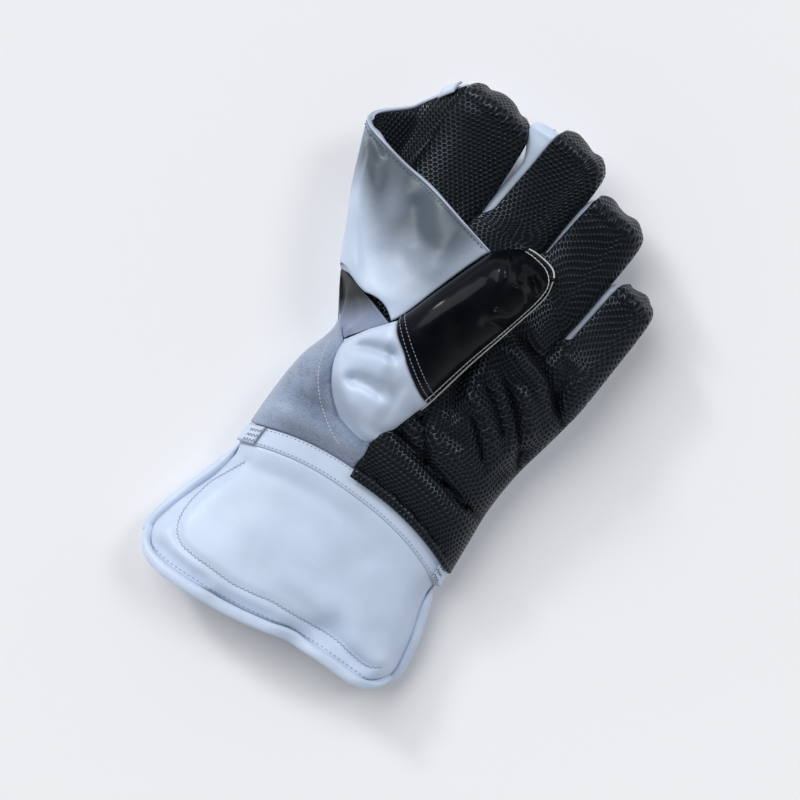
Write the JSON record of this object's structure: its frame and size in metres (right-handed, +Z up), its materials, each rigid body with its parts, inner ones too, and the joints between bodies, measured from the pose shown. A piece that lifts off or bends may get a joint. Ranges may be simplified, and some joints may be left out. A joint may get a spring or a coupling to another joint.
{
  "type": "wicketkeeping glove",
  "caption": "Left-hand wicketkeeping glove lying palm up: dimpled rubber palm and fingers, folded web, thumb over the palm and a flared padded cuff.",
  "frame": {"origin": "the flat rest face under the middle of the hand's back, on the floor", "axes": "+X to the little finger's side, +Y to the fingertips, +Z up out of the palm"},
  "size_m": [0.1914, 0.3001, 0.079],
  "materials": {
    "dimpled_rubber": "satin black, moulded all over with small six-sided dimples",
    "white_leather": "smooth cool white leather with a soft sheen",
    "patent_leather": "glossy black patent leather",
    "suede": "grey-blue napped leather"
  },
  "bodies": {
    "root": {"palm_facing": "dimpled_rubber", "index_facing": "dimpled_rubber", "middle_facing": "dimpled_rubber", "ring_facing": "dimpled_rubber", "little_facing": "dimpled_rubber", "thumb_facing": "dimpled_rubber", "web_lining": "dimpled_rubber", "hand_back": "white_leather", "index_back": "white_leather", "middle_back": "white_leather", "ring_back": "white_leather", "little_back": "white_leather", "thumb_base": "white_leather", "web_outer": "white_leather", "web_binding": "white_leather", "web_tab": "white_leather", "crotch_gusset": "white_leather", "wrist_band": "white_leather", "band_tab_thumb": "white_leather", "band_tab_little": "white_leather", "cuff_front": "white_leather", "cuff_back": "white_leather", "cuff_rim": "white_leather", "thumb_cap": "patent_leather", "wrist_panel": "suede"}
  },
  "joints": []
}
